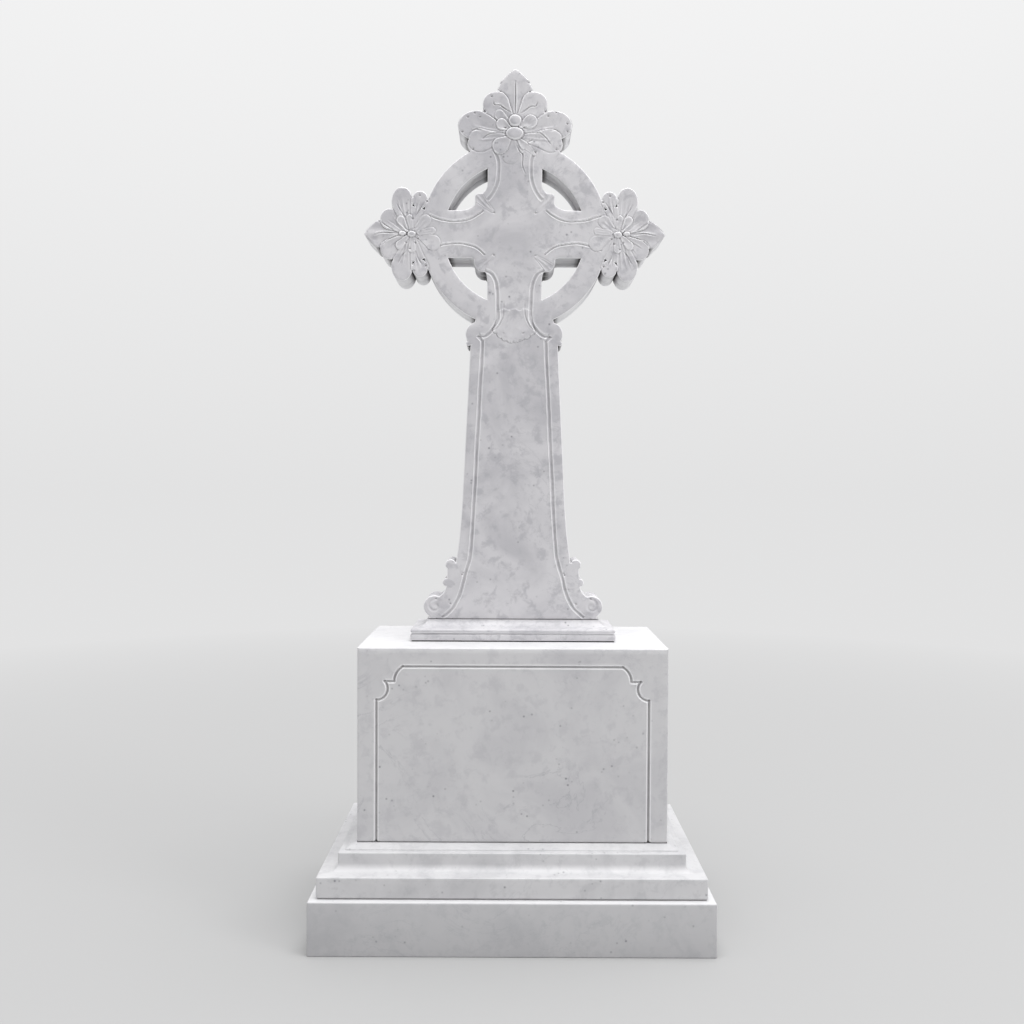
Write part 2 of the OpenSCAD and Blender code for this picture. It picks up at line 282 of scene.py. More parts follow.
# one carved face of a slab: triangles over the outline, with its edge eased by a small radius
def carvedFace(loops, relief, level, facing, look, finest, tolerance):
    arris = look["arris"]
    outline = np.concatenate(loops)
    tree = kdtree.KDTree(len(outline) * 3)
    count = 0
    for loop in loops:
        after = np.roll(loop, -1, axis=0)
        for a, b in zip(loop, after):
            for t in (0, 1 / 3, 2 / 3):
                tree.insert((*(a + (b - a) * t), 0), count)
                count += 1
    tree.balance()

    spread = reliefPoints(loops, relief, finest, tolerance)
    spread = spread[insideLoops(spread[:, 0], spread[:, 1], loops)]
    clear = np.array([tree.find((*p, 0))[2] for p in spread])
    spread = spread[clear > arris * 1.45]
    rings = []
    ringDrop = []
    for share in (0.3, 1.0):  # two rows of points inside the outline carry its eased edge
        inset = arris * share
        for loop in loops:
            moved = loop + inwardNormals(loop) * inset
            gap = np.array([tree.find((*p, 0))[2] for p in moved])
            moved = moved[gap > inset * 0.93]
            rings.append(moved)
            ringDrop.append(np.full(len(moved), arris - math.sqrt(arris ** 2 - (arris - inset) ** 2)))
    points = np.concatenate([outline, *rings, spread])
    drop = np.concatenate([np.full(len(outline), arris), *ringDrop, np.zeros(len(spread))])

    edges = []
    base = 0
    for loop in loops:
        n = len(loop)
        edges += [(base + i, base + (i + 1) % n) for i in range(n)]
        base += n
    made = geometry.delaunay_2d_cdt([Vector(p) for p in points], edges, [], 0, 1e-5)
    flat = np.array([v[:] for v in made[0]])
    source = np.array([o[0] if o else -1 for o in made[3]])
    faces = np.array([f for f in made[2] if len(f) == 3])
    middle = flat[faces].mean(1)
    faces = faces[insideLoops(middle[:, 0], middle[:, 1], loops)]
    h = relief(flat[:, 0], flat[:, 1])
    drop = np.where(source >= 0, drop[source], 0)
    # these hollow values set painted shade in the cuts, a painted highlight on the eased edge and the dark
    # joint along the foot
    hollow = sunkenShare(flat[:, 0], flat[:, 1], h, relief)
    hollow[drop > 0] = -look["edgeHighlight"]
    hollow[(drop > 0) & (flat[:, 1] < outline[:, 1].min() + arris * 0.5)] = 2
    h = h - drop
    verts = np.stack([flat[:, 0], level + facing * h, flat[:, 1]], 1)
    turn = np.cross(flat[faces[:, 1]] - flat[faces[:, 0]], flat[faces[:, 2]] - flat[faces[:, 0]])
    flip = (turn > 0) != (facing < 0)
    faces[flip] = faces[flip][:, ::-1]
    rim = np.zeros(len(outline), int)
    for i, o in enumerate(source):
        if 0 <= o < len(outline):
            rim[o] = i
    return verts, faces, rim, hollow


# how deep each point lies below the stone just around it, from -1 on a sharp edge to 1 in a cut
def sunkenShare(x, z, h, relief, around=3.2, full=3.0):
    total = np.zeros_like(h)
    for i in range(6):
        a = math.pi * i / 3
        total += relief(x + around * math.cos(a), z + around * math.sin(a))
    return np.clip((total / 6 - h) / full, -1, 1)


# a stone cut from a slab: carved front, side walls in rows, plainer back
def carvedSlab(name, nodeName, look, front, back):
    loops, backY = backOutlines(nodeName)
    thick = 2 * backY
    frontY = -backY
    loops = [evenLoop(loop, look["edgeStep"]) for loop in loops]
    fv, ff, fRim, fHollow = carvedFace(loops, front, frontY, -1, look, *look["frontMesh"])
    bv, bf, bRim, bHollow = carvedFace(loops, back, backY, 1, look, *look["backMesh"])
    verts = [fv, bv]
    hollow = [fHollow, bHollow]
    faces = [*map(tuple, ff), *map(tuple, bf + len(fv))]
    count = len(fv) + len(bv)
    start = 0
    for loop in loops:
        n = len(loop)
        inward = inwardNormals(loop)
        shade = cornerShade(loop, look["cornerReach"]) * easeStep(-0.6, -0.1, inward[:, 1])
        rows = [fRim[start:start + n]]
        for depth, inset in look["sideRows"](thick):
            moved = loop + inward * inset
            verts.append(np.stack([moved[:, 0], np.full(n, frontY + depth), moved[:, 1]], 1))
            # rows set into the side get painted shade, and rows near inner corners get painted shade down
            # to near black
            hollow.append(np.maximum(0.8 * min(1, inset / 1.3), 1.75 * shade))  # dark quirks and corners
            rows.append(np.arange(count, count + n))
            count += n
        rows.append(bRim[start:start + n] + len(fv))
        for upper, lower in zip(rows, rows[1:]):
            for i in range(n):
                j = (i + 1) % n
                faces.append((upper[i], upper[j], lower[j], lower[i]))
        start += n
    piece = makeMesh(name, np.concatenate(verts), faces, look["sharp"], np.concatenate(hollow))
    print(name, "made,", len(piece.data.polygons), "faces")
    return piece


def makeMesh(name, verts, faces, sharpAngle, hollow=None):
    mesh = bpy.data.meshes.new(name)
    mesh.from_pydata((np.asarray(verts) * mm).tolist(), [], [tuple(int(i) for i in f) for f in faces])
    # the hollow attribute carries painted shade, painted highlights and dark joints into the material
    depth = mesh.attributes.new("hollow", "FLOAT", "POINT")
    depth.data.foreach_set("value", np.zeros(len(verts)) if hollow is None else hollow)
    work = bmesh.new()
    work.from_mesh(mesh)
    bmesh.ops.remove_doubles(work, verts=work.verts, dist=0.00002)
    # slivers stay behind where three points of an outline lie in line
    slivers = [e.link_faces[0] for e in work.edges if len(e.link_faces) == 1]
    bmesh.ops.delete(work, geom=slivers, context="FACES")
    bmesh.ops.delete(work, geom=[v for v in work.verts if not v.link_faces], context="VERTS")
    bmesh.ops.recalc_face_normals(work, faces=work.faces)
    work.to_mesh(mesh)
    work.free()
    mesh.shade_smooth()
    mesh.set_sharp_from_angle(angle=math.radians(sharpAngle))
    piece = bpy.data.objects.new(name, mesh)
    bpy.context.scene.collection.objects.link(piece)
    return piece


# a stone with a moulded edge: rounded rectangles stacked along a profile of (out, height) points
def mouldedStone(name, halfWide, halfDeep, profile, look):
    verts = []
    faces = []
    ring = 4 * (look["cornerSteps"] + 1)
    for out, z in profile:
        for quarter in range(4):
            sx = (1, -1, -1, 1)[quarter]
            sy = (1, 1, -1, -1)[quarter]
            for i in range(look["cornerSteps"] + 1):
                a = math.radians(90 * quarter + 90 * i / look["cornerSteps"])
                r = look["cornerRadius"]
                verts.append((
                    sx * (halfWide + out - r) + r * math.cos(a),
                    sy * (halfDeep + out - r) + r * math.sin(a),
                    z,
                ))
    for k in range(len(profile) - 1):
        for i in range(ring):
            j = (i + 1) % ring
            faces.append((k * ring + i, k * ring + j, (k + 1) * ring + j, (k + 1) * ring + i))
    faces.append(tuple(range(ring))[::-1])
    faces.append(tuple((len(profile) - 1) * ring + i for i in range(ring)))
    foot = profile[0][1]
    hollow = []
    for out, z in profile:
        inJoint = out < 0 and z < foot + look["joint"] * 1.2
        hollow += [look["jointDark"] if inJoint else 0.0] * ring
    piece = makeMesh(name, verts, faces, look["sharp"], hollow)
    print(name, "made,", len(piece.data.polygons), "faces")
    return piece


# rounds the corners of a (out, height) profile
def easedProfile(corners, radius, steps=4):
    out = []
    last = len(corners) - 1
    for i, corner in enumerate(corners):
        p = np.array(corner[:2], float)
        r = corner[2] if len(corner) > 2 else radius
        if i in (0, last) or r == 0:
            out.append(tuple(p))
            continue
        a = np.array(corners[i - 1][:2], float) - p
        b = np.array(corners[i + 1][:2], float) - p
        cut = min(r, np.linalg.norm(a) * 0.45, np.linalg.norm(b) * 0.45)
        a = p + a / np.linalg.norm(a) * cut
        b = p + b / np.linalg.norm(b) * cut
        for t in np.arange(steps + 1) / steps:
            out.append(tuple((1 - t) ** 2 * a + 2 * t * (1 - t) * p + t * t * b))
    return out


def arcPoints(centre, radius, start, end, steps=10):
    return [
        (centre[0] + radius * math.cos(math.radians(start + (end - start) * i / steps)),
         centre[1] + radius * math.sin(math.radians(start + (end - start) * i / steps)), 0)
        for i in range(steps + 1)
    ]


def boxOf(nodeName):
    low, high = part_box(nodeName)[:2]
    return np.array(low) / mm, np.array(high) / mm


def marble(name, look):
    mat = bpy.data.materials.new(name)
    mat.use_nodes = True
    nodes = mat.node_tree.nodes
    links = mat.node_tree.links
    shader = nodes["Principled BSDF"]
    shader.inputs["Specular IOR Level"].default_value = look["shine"]

    place = nodes.new("ShaderNodeTexCoord")
    shift = nodes.new("ShaderNodeMapping")
    shift.inputs["Location"].default_value = look["blockShift"]
    shift.inputs["Rotation"].default_value = (0.3, 0.5, 0.2)
    links.new(place.outputs["Object"], shift.inputs["Vector"])

    def noise(scale, detail, rough=0.55, distortion=0.0):
        tex = nodes.new("ShaderNodeTexNoise")
        tex.inputs["Scale"].default_value = scale
        tex.inputs["Detail"].default_value = detail
        tex.inputs["Roughness"].default_value = rough
        tex.inputs["Distortion"].default_value = distortion
        links.new(shift.outputs["Vector"], tex.inputs["Vector"])
        return tex.outputs["Fac"]

    def remap(value, low, high, toLow, toHigh):
        node = nodes.new("ShaderNodeMapRange")
        node.interpolation_type = "SMOOTHSTEP"
        node.inputs["From Min"].default_value = low
        node.inputs["From Max"].default_value = high
        node.inputs["To Min"].default_value = toLow
        node.inputs["To Max"].default_value = toHigh
        links.new(value, node.inputs["Value"])
        return node.outputs["Result"]

    def maths(operation, a, b):
        node = nodes.new("ShaderNodeMath")
        node.operation = operation
        for socket, value in zip(node.inputs, (a, b)):
            if isinstance(value, (int, float)):
                socket.default_value = value
            else:
                links.new(value, socket)
        return node.outputs[0]

    def tint(colour, amount, under):
        node = nodes.new("ShaderNodeMix")
        node.data_type = "RGBA"
        links.new(amount, node.inputs["Factor"])
        if isinstance(under, tuple):
            node.inputs["A"].default_value = (*under, 1)
        else:
            links.new(under, node.inputs["A"])
        node.inputs["B"].default_value = (*colour, 1)
        return node.outputs["Result"]

    # soft clouds, then finer mottling, thin veins and dark specks
    clouds = remap(noise(look["cloudScale"], 7, 0.6, 0.7), 0.40, 0.72, 0, look["cloudAmount"])
    colour = tint(look["cloud"], clouds, look["body"])
    mottle = remap(noise(look["mottleScale"], 5, 0.66, 0.3), 0.48, 0.66, 0, look["mottleAmount"])
    colour = tint(look["cloud"], mottle, colour)
    drift = remap(noise(3.0, 3, 0.5), 0.42, 0.62, 0, 1)
    line = maths("ABSOLUTE", maths("SUBTRACT", noise(look["veinScale"], 9, 0.62, 1.1), 0.5), 0)
    veins = maths("MULTIPLY", remap(line, 0.0, 0.012, look["veinAmount"], 0), drift)
    colour = tint(look["vein"], veins, colour)
    cells = nodes.new("ShaderNodeTexVoronoi")
    cells.inputs["Scale"].default_value = look["speckScale"]
    links.new(shift.outputs["Vector"], cells.inputs["Vector"])
    spots = remap(cells.outputs["Distance"], 0.04, 0.22, 1, 0)
    chance = remap(noise(18, 2), 0.52, 0.66, 0, look["speckAmount"])
    colour = tint(look["speck"], maths("MULTIPLY", spots, chance), colour)
    # painted light: faces turned up get painted top light, and faces turned down are painted paler as if
    # lit from below
    facing = nodes.new("ShaderNodeSeparateXYZ")
    links.new(nodes.new("ShaderNodeNewGeometry").outputs["Normal"], facing.inputs[0])
    colour = tint(look["paintedLight"], remap(facing.outputs["Z"], 0.9, 0.98, 0, look["paintedTopLight"]), colour)
    colour = tint(look["paintedLight"], remap(facing.outputs["Z"], -0.3, -0.8, 0, look["paintedUndersideLight"]), colour)
    # painted shade in the cuts and quirks, joints nearly black and so is the deepest painted shade in inner
    # corners, and painted highlights on the edges
    sunken = nodes.new("ShaderNodeAttribute")
    sunken.attribute_name = "hollow"
    colour = tint(look["shade"], remap(sunken.outputs["Fac"], 0.06, 0.9, 0, look["shadeAmount"]), colour)
    colour = tint(look["joint"], remap(sunken.outputs["Fac"], 0.9, 1.8, 0, 0.93), colour)
    colour = tint(look["paintedLight"], remap(sunken.outputs["Fac"], -0.06, -0.45, 0, look["edgeHighlightAmount"]), colour)
    links.new(colour, shader.inputs["Base Color"])
    links.new(remap(noise(40, 4), 0.3, 0.7, look["gloss"][0], look["gloss"][1]), shader.inputs["Roughness"])

    bump = nodes.new("ShaderNodeBump")
    bump.inputs["Strength"].default_value = look["grain"]
    bump.inputs["Distance"].default_value = 0.0006
    links.new(noise(420, 3, 0.6), bump.inputs["Height"])
    links.new(bump.outputs["Normal"], shader.inputs["Normal"])
    return mat


crossMarble = {
    "body": (0.56, 0.552, 0.569), "cloud": (0.37, 0.365, 0.39), "vein": (0.26, 0.26, 0.29),
    "speck": (0.17, 0.17, 0.185), "shade": (0.20, 0.19, 0.19), "shadeAmount": 0.6,
    "joint": (0.035, 0.034, 0.036), "paintedLight": (0.86, 0.86, 0.87), "edgeHighlightAmount": 0.6,
    "cloudScale": 6.5, "cloudAmount": 0.66, "mottleAmount": 0.66,
    "mottleScale": 38, "veinScale": 5.5, "veinAmount": 0.22, "speckScale": 60, "speckAmount": 0.8,
    "shine": 0.35, "gloss": (0.40, 0.55),
    "grain": 0.25, "paintedTopLight": 0.0, "paintedUndersideLight": 0.9, "blockShift": (0.7, 0.2, 0.4),
}
dieMarble = {
    **crossMarble, "body": (0.53, 0.526, 0.536), "cloudAmount": 0.4, "mottleAmount": 0.34,
    "veinAmount": 0.36,
    "paintedTopLight": 0.28, "blockShift": (3.1, 1.2, 2.4),
}
baseMarble = {
    **crossMarble, "body": (0.53, 0.527, 0.537), "cloud": (0.37, 0.37, 0.385), "cloudAmount": 0.55,
    "mottleAmount": 0.4, "paintedUndersideLight": 0.0,
    "blockShift": (5.3, 2.2, 0.9),
}
blockMarble = {
    **baseMarble, "body": (0.455, 0.453, 0.463), "paintedTopLight": 0.32, "blockShift": (1.7, 4.2, 3.3),
}


def finishPiece(piece, look, nodeName):
    piece.data.materials.append(marble(piece.name + "Marble", look))
    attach(piece, "root")
    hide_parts(nodeName)


plainStone = {
    "cornerRadius": 3.5, "cornerSteps": 5, "arris": 3.0, "joint": 2.4, "jointDark": 0.0, "sharp": 40,
}

low, high = boxOf("bottom_block")
bottomBlock = mouldedStone(
    "bottomBlock", high[0], high[1],
    easedProfile([(-6, 0), (0, 0, 2.5), (0, high[2]), (-40, high[2])], plainStone["arris"]), plainStone,
)
finishPiece(bottomBlock, blockMarble, "bottom_block")

mouldedEdge = {
    **plainStone, "fasciaHigh": 46, "coveRadius": 16, "upperHigh": 22, "upperIn": 39, "ledgeWide": 13,
    "ledgeStep": 2.5, "seatIn": 71, "jointDark": 1.15,
}


def baseProfile(low, high, look):
    foot = low[2]
    ledge = foot + look["fasciaHigh"]
    cove = ledge + look["coveRadius"]
    top = cove + look["upperHigh"]
    face = -look["upperIn"]
    gap = look["joint"]
    return easedProfile(
        [(-gap, foot, 0), (-gap, foot + gap, 0), (0, foot + gap * 1.6, 1.5), (0, ledge),
         *arcPoints((face + look["coveRadius"], cove), look["coveRadius"], 270, 180),
         (face, top), (face - look["ledgeWide"], top, 0.6),
         (face - look["ledgeWide"] - 0.4, top + look["ledgeStep"], 0.8),
         (-look["seatIn"], high[2] - 0.2, 0.5), (-look["seatIn"] - 20, high[2] - 0.2)],
        look["arris"],
    )


low, high = boxOf("moulded_base")
mouldedBase = mouldedStone(
    "mouldedBase", high[0], high[1], baseProfile(low, high, mouldedEdge), mouldedEdge)
finishPiece(mouldedBase, baseMarble, "moulded_base")

plinthEdge = {
    **plainStone, "fasciaHigh": 15, "step": 3, "rollHigh": 11, "seatIn": 34, "arris": 1.6, "jointDark": 2.0,
}


def plinthProfile(low, high, look):
    foot = low[2]
    fascia = foot + look["fasciaHigh"]
    roll = fascia + look["step"]
    r = look["rollHigh"] / 2
    inner = -look["step"]
    run = look["seatIn"] - look["step"] - r
    rise = high[2] - roll - look["rollHigh"]
    slope = [
        (inner - r + run * math.cos(math.radians(a)), high[2] + rise * math.sin(math.radians(a)), 0)
        for a in range(262, 179, -8)
    ]
    gap = look["joint"]
    return easedProfile(
        [(-gap, foot, 0), (-gap, foot + gap, 0), (0, foot + gap * 1.6, 1.2), (0, fascia),
         (inner, fascia, 0.3), (inner, roll, 0.3), *arcPoints((-r, roll + r), r, -90, 90),
         (inner - r, roll + look["rollHigh"], 0), *slope],
        look["arris"],
    )


low, high = boxOf("cross_plinth")
profile = plinthProfile(low, high, plinthEdge)
profile.append((-plinthEdge["seatIn"] - 20, high[2]))
crossPlinth = mouldedStone("crossPlinth", high[0], high[1], profile, plinthEdge)
finishPiece(crossPlinth, crossMarble, "cross_plinth")

# the panel line cut into the front of the die
panelLine = {
    "side": 41, "top": 39.5, "width": 7.2, "depth": 4.4, "ledgeDrop": 31.5, "ledgeIn": 38,
    "shoulder": 36.5, "hollow": 24, "hollowDrop": 16, "lip": 0.28,
    "drilled": (0, 11, 21, 22), "drillOff": 0.8, "drillSize": 2.4,  # points of the path that end in a dot
}
low, high = boxOf("die_block")


def panelPath(look, wide, bottom, top):
    side = wide - look["side"]
    topZ = top - look["top"]
    ledge = topZ - look["ledgeDrop"]
    shoulder = (side - look["ledgeIn"] - look["shoulder"], ledge)
    hollow = (side, ledge - look["hollowDrop"])
    lift = math.degrees(math.asin(look["ledgeDrop"] / look["shoulder"]))
    meet = 180 - math.degrees(math.asin(look["hollowDrop"] / look["hollow"]))
    right = [p[:2] for p in arcPoints(shoulder, look["shoulder"], lift, 0)]
    right += [p[:2] for p in arcPoints(hollow, look["hollow"], meet, 270)]
    right.append((side, bottom + 1.5))
    left = [(-x, z) for x, z in right]
    return np.array(left[::-1] + right)


diePath = panelPath(panelLine, high[0], low[2], high[2])


def dieFront(x, z):
    d = lineDistance(x, z, diePath)[0]
    groove = easeStep(panelLine["width"] / 2, 0.9, d)
    h = -panelLine["depth"] * groove + panelLine["lip"] * bellCurve(d - panelLine["width"] / 2 - 1, 1.0)
    rightHalf = diePath[len(diePath) // 2:]
    for corner in panelLine["drilled"]:
        spot = rightHalf[corner] + panelLine["drillOff"]
        for flip in (1, -1):
            h = drillDot(h, x * flip, z, spot, panelLine["drillSize"], panelLine["drillSize"])
    return h


def plainFace(x, z):
    return np.zeros_like(x)


dieStone = {
    "arris": 2.6, "edgeStep": 5, "sharp": 45, "edgeHighlight": 0.2, "cornerReach": 0.1,
    "frontMesh": (1.6, 0.1), "backMesh": (5, 0.3),  # finest cell, and the bend a wider cell may hide
    "sideRows": lambda t: [  # depth from the front of a slab t thick, and how far in
        (3.4, 0), (5, 0), *((t * i / 6, 0) for i in range(1, 6)), (t - 5, 0), (t - 3.4, 0),
    ],
}
dieBlock = carvedSlab("dieBlock", "die_block", dieStone, dieFront, plainFace)
finishPiece(dieBlock, dieMarble, "die_block")

low, high = boxOf("celtic_cross")
crossFoot = low[2]
outlines = backOutlines("celtic_cross")[0]
armTip = outlines[0][outlines[0][:, 0].argmax()]
ringZ = armTip[1]
leafArm = 128
ringOut = armTip[0] - leafArm

shaftLines = {"width": 8.0, "depth": 3.2, "lip": 0.7, "thin": 5.2, "thinDepth": 2.4}
rearLines = {**shaftLines, "depth": 2.6, "thinDepth": 2.0}

# border line of the shaft from the collar down and out round the foot scroll, above the foot
borderLine = throughPoints([
    (83, 637), (73, 627), (71.5, 612), (77, 500), (83, 380), (88.5, 268), (92, 210), (95.5, 161),
    (97.5, 139), (103.5, 116), (108, 102), (112.5, 85), (118.5, 61), (125, 44), (135, 27), (148, 14),
    (161, 4),
])
# lines of the crossing, from the ring's centre
crossingLines = {
    "upright": throughPoints([(46, 187), (37.5, 165), (36.5, 140), (40, 112), (51, 88), (62, 76)]),
    "armOver": throughPoints([(70, 53), (84, 42), (104, 32), (130, 28), (160, 31), (196, 42)]),
    "armUnder": throughPoints([(66, -47), (80, -34), (98, -26), (130, -21), (160, -24), (196, -36)]),
    "lower": throughPoints([(68, -80), (52, -88), (42, -106), (38, -130), (37.5, -160), (37, -190),
                            (50, -214), (63, -226), (74, -228), (80, -225)]),
    "inner": throughPoints([(24, -150), (24, -178), (30, -196), (40, -210), (49, -216)]),
}
# small leaves on the knobs between the arms
knobLeaves = {
    "over": {"foot": (88, 88), "crown": (50, 51), "footR": 13, "crownR": 3.5, "level": 0.3, "dish": 1.2,
             "ridge": 0.7, "cut": 1.1},
    "under": {"foot": (86, -82), "crown": (49, -51), "footR": 13, "crownR": 3.5, "level": 0.3, "dish": 1.2,
              "ridge": 0.7, "cut": 1.1},
}
knobDots = [(91, 68), (46, 47), (47, -47), (93, -70)]
# leaf that hangs over the top of the shaft, in heights above the cross's foot
hangingLeaf = {
    "scallops": [(-3, 650, 22), (-41, 650, 7.5), (-31.5, 641, 7.5), (-20.5, 634, 8), (-8, 629.5, 8.5),
                 (5, 630.5, 8), (16.5, 634.5, 7.5), (27.5, 638.5, 8), (38, 646, 7.5)],
    "top": 697, "low": 645, "widest": 650, "topHalf": 38, "lowHalf": 47, "level": 1.0,
}

# leaf ends: eye and bud are given as across, out, their two half sizes and their height
topLeaf = {
    "eye": (-1, 15, 20, 13.7, 4.2), "bud": (0, 43.5, 14.4, 13.4, 3.6), "hub": (0, 20),
    "petals": [
        {"foot": (7, 42), "crown": (43.5, 80.5), "footR": 7, "crownR": 30, "level": -1.2, "dish": 2.2,
         "both": True},
        {"foot": (14, 16), "crown": (89, 30), "footR": 7, "crownR": 38, "level": -0.4, "dish": 2.6,
         "ridge": 1.3, "both": True},
        {"foot": (18, 6), "crown": (79, 0), "footR": 8, "crownR": 26, "level": 0.0, "dish": 1.8,
         "ridge": 0.9, "both": True},
        {"foot": (-18, 44), "crown": (-35, 56), "footR": 5, "crownR": 12, "level": -0.4, "dish": 1.0,
         "cut": 0.7},
        {"foot": (-14, 28), "crown": (-30, 36), "footR": 6, "crownR": 12.5, "level": 0.8, "dish": 1.8},
        {"foot": (14, 32), "crown": (34, 42), "footR": 6, "crownR": 15.5, "level": 1.0, "dish": 2.0},
        {"foot": (-2, 2), "crown": (-10, -34), "footR": 4, "crownR": 19, "level": 0.5, "dish": 0.6,
         "cut": 0.6},
        {"foot": (9, 2), "crown": (20, -12), "footR": 4, "crownR": 9.5, "level": 1.3, "dish": 1.6},
        {"foot": (27, -16), "crown": (43, -31), "footR": 7, "crownR": 3, "level": 0.3, "dish": 0.8,
         "cut": 1.0},
        {"foot": (-14, 4), "crown": (-33, -13), "footR": 6, "crownR": 18, "level": 1.6, "dish": 1.6},
    ],
    "veins": [  # points, width, depth and raised lip
        ([(0, 132), (0.5, 100), (0, 58)], 2.4, 3.4, 1.1),
        ([(-49, 85), (-46, 79.5), (-34, 79), (-23, 71), (-9, 61)], 2.4, 3.6, 0.5),
        ([(50, 85), (46, 77), (36, 76.5), (26, 70), (13, 61)], 2.4, 3.6, 0.5),
        ([(-23, 15.5), (-49, 16), (-62, 13), (-73, 2)], 2.4, 2.8, 0.5),
        ([(23, 15), (38, 17), (50, 18), (58, 16), (70, 4), (80, -9)], 2.4, 2.8, 0.7),
        ([(-98, 22), (-88, 24), (-76, 22)], 3.0, 3.4, 0.0),
        ([(78, 22), (90, 24), (99, 16)], 2.4, 2.6, 0.0),
        ([(27, -6), (33, -1), (40, 3)], 3.4, 2.6, 0.0),
        ([(2, -8), (10, -24), (18, -33), (17, -56), (24, -76)], 2.4, 2.4, 0.7),
        ([(-26, 28), (-20, 29)], 3.0, 3.4, 0.0),
        ([(17, 28), (26, 27)], 3.0, 3.4, 0.0),
    ],
    "dots": [(-33, 128), (-33, 109), (30, 128), (33, 109), (-53, 97), (-67, 66), (67, 66), (-91, 61),
             (-106, 52), (-79, 52), (91, 62), (73, 54), (117, 38), (117, 20), (-118, 18), (-94, -20),
             (92, -19), (-21, 28), (20, 28)],
}
armLeaf = {
    "eye": (0, 22, 6.5, 9.5, 2.4), "bud": (2, 42, 4.6, 8, 1.8), "hub": (0, 24),
    "petals": [
        {"foot": (7, 42), "crown": (34, 70), "footR": 5, "crownR": 23.5, "level": -1.0, "dish": 2.0,
         "folds": (9, -7), "both": True},
        {"foot": (10, 30), "crown": (77, 43), "footR": 6, "crownR": 28, "level": -0.4, "dish": 2.4,
         "ridge": 1.2, "folds": (13, -10), "both": True},
        {"foot": (12, 18), "crown": (76, 3), "footR": 6, "crownR": 20, "level": 0.0, "dish": 1.8,
         "ridge": 1.0, "folds": (-8,), "both": True},
        {"foot": (-5, 2), "crown": (-20, -26), "footR": 7, "crownR": 17, "level": 0.5, "dish": 1.2,
         "cut": 1.0},
        {"foot": (6, 14), "crown": (29, -9), "footR": 6, "crownR": 13, "level": 0.7, "dish": 1.6,
         "ridge": 0.8, "cut": 1.1},
        {"foot": (3, 4), "crown": (7, -24), "footR": 6, "crownR": 8, "level": 0.9, "dish": 1.0,
         "ridge": 0.7, "cut": 1.0},
        {"foot": (9, 33), "crown": (31, 46), "footR": 4, "crownR": 9.5, "level": 0.6, "dish": 1.5,
         "cut": 1.1},
        {"foot": (8, 22), "crown": (36, 27), "footR": 5, "crownR": 7, "level": 0.8, "dish": 1.0,
         "ridge": 0.6, "cut": 1.0},
        {"foot": (-7, 33), "crown": (-25, 48), "footR": 5, "crownR": 10, "level": 0.5, "dish": 1.4,
         "cut": 1.1},
        {"foot": (-7, 20), "crown": (-34, 21), "footR": 5, "crownR": 8, "level": 0.7, "dish": 1.2,
         "ridge": 0.6, "cut": 1.0},
    ],
    "veins": [  # points, width, depth and raised lip
        ([(-2, 106), (3, 88), (3, 70), (2, 56)], 2.6, 3.4, 1.0),
        ([(26, 90), (18, 77), (9, 64), (4, 54)], 2.2, 2.4, 0.5),
        ([(-25, 90), (-14, 78), (-7, 66), (-2, 50)], 2.2, 2.4, 0.5),
        ([(66, 55), (48, 44), (36, 34)], 2.2, 2.0, 0.3),
        ([(-66, 54), (-48, 44), (-38, 34)], 2.2, 2.0, 0.3),
        ([(70, -6), (52, 6), (38, 13)], 2.4, 2.2, 0.3),
        ([(-70, -2), (-52, 8), (-38, 12)], 2.4, 2.2, 0.3),
        ([(21, 42), (12, 34), (9, 26), (16, 8)], 2.2, 2.2, 0.0),
    ],
    "dots": [(30, 94), (-31, 94), (58, 66), (-58, 66), (88, 20), (-82, 20), (86, 4), (73, -12), (-71, -10),
             (34, 20), (-33, 26), (-18, 34), (-20, 14), (-10, 8)],
}


# a leaf end, drawn across and out from the ring's edge
def layLeaf(h, across, out, leaf):
    # dished round the hub and along both flanks, with a rib out to the tip
    bowl = bellCurve(np.hypot(across - leaf["hub"][0], (out - leaf["hub"][1])), 62)
    flank = bellCurve(np.abs(across) - 13, 8) * easeStep(50, 70, out) * easeStep(140, 110, out)
    area = easeStep(-4, 4, out - np.maximum(0, 26 - np.abs(across) * 0.3))
    own = -1.6 - 2.2 * bowl - 1.4 * flank + 0.9 * bellCurve(across, 5) * easeStep(130, 60, out)
    h = h * (1 - area) + own * area
    for petal in leaf["petals"]:
        h = layPetal(h, across, out, petal)
        if petal.get("both"):
            h = layPetal(h, -across, out, petal)
    for line, width, depth, lip in leaf["veins"]:
        h = cutVein(h, across, out, throughPoints(line), width, depth, lip)
    for spot in leaf["dots"]:
        h = drillDot(h, across, out, spot)
    for part in ("bud", "eye"):
        ax, az, rx, rz, tall = leaf[part]
        h = layDome(h, across, out, (ax, az), (rx, rz), tall, tall * 0.5)
    return h


# the hand of the carver: lines wander by a fraction of a millimetre
def wander(x, z):
    dx = 0.3 * np.sin(x * 0.11 + z * 0.04) + 0.15 * np.sin(z * 0.17 + 1.3) + 0.15 * np.sin(x * 0.31 + 2.1)
    dz = 0.4 * np.sin(z * 0.12 - x * 0.05 + 0.7) + 0.3 * np.sin(x * 0.17) + 0.2 * np.sin(z * 0.29 + 0.4)
    return x + dx, z + dz


def crossLines(h, x, z, look, carvedToo):
    up = z - ringZ
    for flip in (1, -1):
        fx = x * flip
        h = cutGutter(h, fx, z - crossFoot, borderLine, look["width"], look["depth"], look["lip"], 0.012)
        h = cutGutter(h, fx, up, crossingLines["upright"], look["width"], look["depth"] * 0.8, look["lip"])
        h = cutGutter(h, fx, up, crossingLines["lower"], look["width"], look["depth"], look["lip"])
        for part in ("armOver", "armUnder"):
            h = cutGutter(h, fx, up, crossingLines[part], look["thin"], look["thinDepth"], look["lip"])
        if carvedToo:
            h = cutVein(h, fx, up, crossingLines["inner"], 2.6, 1.8, 0.4)
    return h


